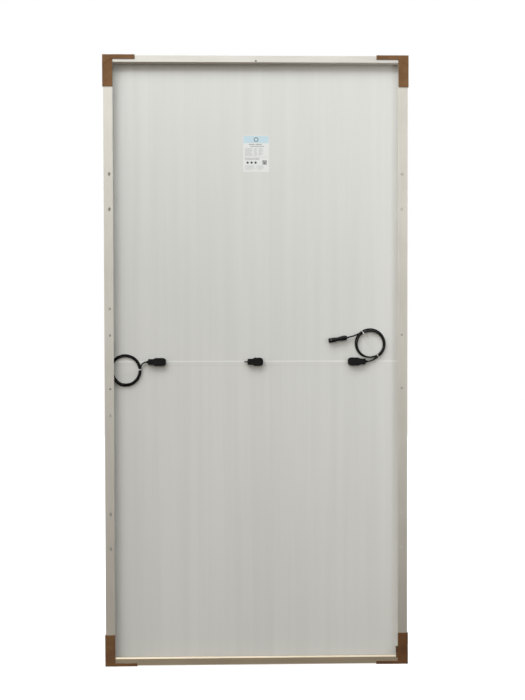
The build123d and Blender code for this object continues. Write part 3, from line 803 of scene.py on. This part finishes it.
piece("label_rings", rings, "module", "label_paper", DARK_PRINT_AND_SHADE)
# The grounding hole rings are painted shade: dark rings that stand in for the shadow inside each hole.
piece("hole_shade_rings", hole_shade_rings, "module", "label_paper", DARK_PRINT_AND_SHADE)

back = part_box("backsheet")[0][1] / MM
tape = Shader("tape_film", (0.88, 0.89, 0.87), 0.4, Specular_IOR_Level=0.5)
tape_grain = tape.noise(60, (0.1, 1, 1), 3)
tape.colour(tape.ramp(tape_grain, (0.3, (0.86, 0.87, 0.85)), (0.7, (0.91, 0.92, 0.90))))
tape.roughness(tape_grain, 0.32, 0.5)
tape.bump(tape_grain, 0.3, 0.0002)
# Runs of the ridge between the junction boxes, out to where the rails cover the laminate.
RIDGE_END = 551.0
gaps = []
left_edge = -RIDGE_END
for name in ("left", "centre", "right"):
    box_low, box_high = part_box(f"junction_box_base_{name}")
    gaps.append((left_edge, box_low[0] / MM - 0.5))
    left_edge = box_high[0] / MM + 0.5
gaps.append((left_edge, RIDGE_END))


def centre_tape(bm):
    """Shallow rounded ridge over the bus ribbons behind the film, broken at the boxes."""
    for start, end in gaps:
        steps = max(2, int((end - start) / 30))
        grid = []
        for i in range(steps + 1):
            x = start + (end - start) * i / steps
            drift = noise.noise(Vector((x * 0.02, 0, 7))) * 0.35
            line = []
            for k in range(7):
                s = k / 6 * 2 - 1
                lift = 0.32 * (1 - s * s) ** 0.5 if abs(s) < 1 else 0.0
                line.append(bm.verts.new((x * MM, (back + 0.02 - lift) * MM, (s * 3.6 + drift) * MM)))
            grid.append(line)
        for a, b in zip(grid, grid[1:]):
            for k in range(6):
                bm.faces.new((a[k], a[k + 1], b[k + 1], b[k]))


piece("centre_ridge", centre_tape, "module", "backsheet_film", tape.material, smooth=True)
seam = Shader("seam_film", (0.72, 0.71, 0.62), 0.5)
seam_grain = seam.noise(90, (0.1, 1, 1), 3)
seam.colour(seam.ramp(seam_grain, (0.3, (0.70, 0.69, 0.60)), (0.7, (0.76, 0.76, 0.69))))
seam.roughness(seam_grain, 0.42, 0.6)
seam_runs = [(start, -14.6, end, -13.0) for start, end in gaps if end < RIDGE_END]
raised("centre_seam", seam_runs, back, 0.06, "backsheet_film", seam.material)


# =====================================================================
# Junction box details: bead and ribs on the lids, side latches, ribbed gland collars
# =====================================================================
for name, sign in (("left", -1), ("centre", -1), ("right", 1)):
    lid_low, lid_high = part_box(f"junction_box_lid_{name}")
    x0, x1 = lid_low[0] / MM, lid_high[0] / MM
    mid_x = (x0 + x1) / 2
    top = 12.0

    def lid_trim(bm, mid_x=mid_x, x0=x0, x1=x1, sign=sign):
        neck = x1 if sign > 0 else x0
        for i in range(4):
            x = neck - sign * (3.4 + i * 3.2)
            block(bm, (x - 0.6, top - 0.7, -7.5), (x + 0.6, top + 0.1, 7.5))
        panel = mid_x - sign * 6
        for z in (-6.2, 6.2):
            block(bm, (panel - 12, top - 1.0, z - 0.4), (panel + 12, top - 0.5, z + 0.4))
        for x in (panel - 12, panel + 12):
            block(bm, (x - 0.4, top - 1.0, -6.2), (x + 0.4, top - 0.5, 6.2))

    piece(f"lid_trim_{name}", lid_trim, f"lid_{name}", "lid_plastic", bevel=0.00025)

    def latches(bm, mid_x=mid_x, sign=sign):
        for x in (mid_x - sign * 14, mid_x + sign * 2):
            for z in (-1, 1):
                block(bm, (x - 3.2, 15.6, z * 14.9 - 0.5), (x + 3.2, 22.5, z * 14.9 + 0.5))
                block(bm, (x - 2.0, 16.6, z * 15.3 - 0.35), (x + 2.0, 18.2, z * 15.3 + 0.35))

    piece(f"box_latches_{name}", latches, "module", "box_plastic", bevel=0.00025)


GLAND_Y = 21.2
for name, sign, gland in (("left", -1, "cable_gland_left"), ("right", 1, "cable_gland_right")):
    gland_low, gland_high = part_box(gland)
    gland_end = (gland_low[0] if sign < 0 else gland_high[0]) / MM

    def collar(bm, sign=sign, gland_end=gland_end):
        """Tapered relief around the cable, with three soft grip rings."""
        profile = []
        for i in range(13):
            s = i / 12
            radius = 5.3 - 2.0 * s + 0.35 * cos(s * 6 * pi)
            profile.append((gland_end - sign * 3.2 + sign * 6.2 * s, radius))
        angles = [2 * pi * k / 24 for k in range(24)]
        loops = []
        for x, r in profile:
            spots = [(x * MM, (GLAND_Y + r * cos(a)) * MM, r * sin(a) * MM) for a in angles]
            loops.append([bm.verts.new(spot) for spot in spots])
        for a, b in zip(loops, loops[1:]):
            bridge(bm, a, b)
        bm.faces.new(loops[0])
        bm.faces.new(loops[-1])

    piece(f"strain_relief_{name}", collar, "module", "gland_rubber", smooth=True)


# =====================================================================
# Stage: floor, backdrop, world and lights
# =====================================================================
FLOOR_Z = -1.1428
FLOOR_R = 9
BACKDROP_R = 20


def floor_mesh(bm):
    """Disc that the module stands on."""
    for k in range(64):
        bm.verts.new((FLOOR_R * cos(2 * pi * k / 64), FLOOR_R * sin(2 * pi * k / 64), FLOOR_Z))
    bm.faces.new(bm.verts)


def backdrop_mesh(bm):
    """Sphere around everything, so that the background is blank from every side."""
    bmesh.ops.create_uvsphere(bm, u_segments=48, v_segments=24, radius=BACKDROP_R)


def staged(name, mesh_maker, finish, glow):
    """White surface that only the camera sees: it neither lights the module nor shows in it."""
    data = bpy.data.meshes.new(name)
    bm = bmesh.new()
    mesh_maker(bm)
    bm.to_mesh(data)
    bm.free()
    finish.bsdf.inputs["Emission Color"].default_value = (1, 1, 1, 1)
    finish.bsdf.inputs["Emission Strength"].default_value = glow
    data.materials.append(finish.material)
    surface = bpy.data.objects.new(name, data)
    bpy.context.scene.collection.objects.link(surface)
    surface.visible_diffuse = False
    surface.visible_glossy = False
    surface.visible_transmission = False
    return surface


staged("floor", floor_mesh, Shader("pale_floor", (0.93, 0.93, 0.93), 0.7), 0.45)
plain = Shader("plain_backdrop", (0, 0, 0), 1.0, Specular_IOR_Level=0.0)
backdrop = staged("backdrop", backdrop_mesh, plain, 1.0)
backdrop.visible_shadow = False

scene = bpy.context.scene
scene.view_settings.view_transform = "Standard"
world = bpy.data.worlds.new("studio")
scene.world = world
world.use_nodes = True
tree = world.node_tree
background = tree.nodes["Background"]
where = tree.nodes.new("ShaderNodeTexCoord")
split = tree.nodes.new("ShaderNodeSeparateXYZ")
tree.links.new(where.outputs["Generated"], split.inputs[0])
height_ramp = tree.nodes.new("ShaderNodeValToRGB")
lift = tree.nodes.new("ShaderNodeMapRange")
lift.inputs["From Min"].default_value = -1
tree.links.new(split.outputs["Z"], lift.inputs["Value"])
tree.links.new(lift.outputs["Result"], height_ramp.inputs["Fac"])
tones = height_ramp.color_ramp.elements
skies = (
    (0.0, (0.10, 0.075, 0.055)),
    (0.38, (0.15, 0.115, 0.08)),
    (0.46, (0.25, 0.22, 0.18)),
    (0.495, (0.56, 0.54, 0.485)),
    (0.53, (0.82, 0.805, 0.75)),
    (0.80, (0.76, 0.77, 0.76)),
)
while len(tones) < len(skies):
    tones.new(0.5)
for tone, (position, colour) in zip(tones, skies):
    tone.position = position
    tone.color = (*colour, 1)
sideways = tree.nodes.new("ShaderNodeMapRange")
sideways.inputs["From Min"].default_value = -1
sideways.inputs["To Min"].default_value = 1.8
sideways.inputs["To Max"].default_value = 0.1
tree.links.new(split.outputs["X"], sideways.inputs["Value"])
shaded = tree.nodes.new("ShaderNodeVectorMath")
shaded.operation = "SCALE"
tree.links.new(height_ramp.outputs["Color"], shaded.inputs[0])
tree.links.new(sideways.outputs["Result"], shaded.inputs["Scale"])
rear = tree.nodes.new("ShaderNodeMapRange")
rear.inputs["From Min"].default_value = -0.05
rear.inputs["From Max"].default_value = 0.35
tree.links.new(split.outputs["Y"], rear.inputs["Value"])
mix = tree.nodes.new("ShaderNodeMix")
mix.data_type = "RGBA"
tree.links.new(rear.outputs["Result"], mix.inputs[0])
tree.links.new(shaded.outputs["Vector"], mix.inputs[6])
mix.inputs[7].default_value = (1, 1, 1, 1)
tree.links.new(mix.outputs[2], background.inputs["Color"])


DAYLIGHT = (0.97, 1.0, 1.0)


def area_light(name, at, aim, size, power):
    """Rectangular lamp at a point, aimed at another, that the camera doesn't see."""
    data = bpy.data.lights.new(name, "AREA")
    data.shape = "RECTANGLE"
    data.size, data.size_y = size
    data.energy = power
    data.color = DAYLIGHT
    made = bpy.data.objects.new(name, data)
    scene.collection.objects.link(made)
    made.location = at
    made.rotation_mode = "QUATERNION"
    made.rotation_quaternion = (Vector(aim) - Vector(at)).to_track_quat("-Z", "Y")
    made.visible_camera = False


area_light("overhead", (-0.2, -1.5, 3.1), (0, 0, 0.2), (2.4, 1.2), 38)
area_light("key", (-2.6, -2.4, 3.4), (0, 0, 0.2), (1.6, 1.6), 42)
area_light("side", (1.05, -0.8, 0.2), (0.4, 0, 0.1), (0.4, 2.2), 3.2)
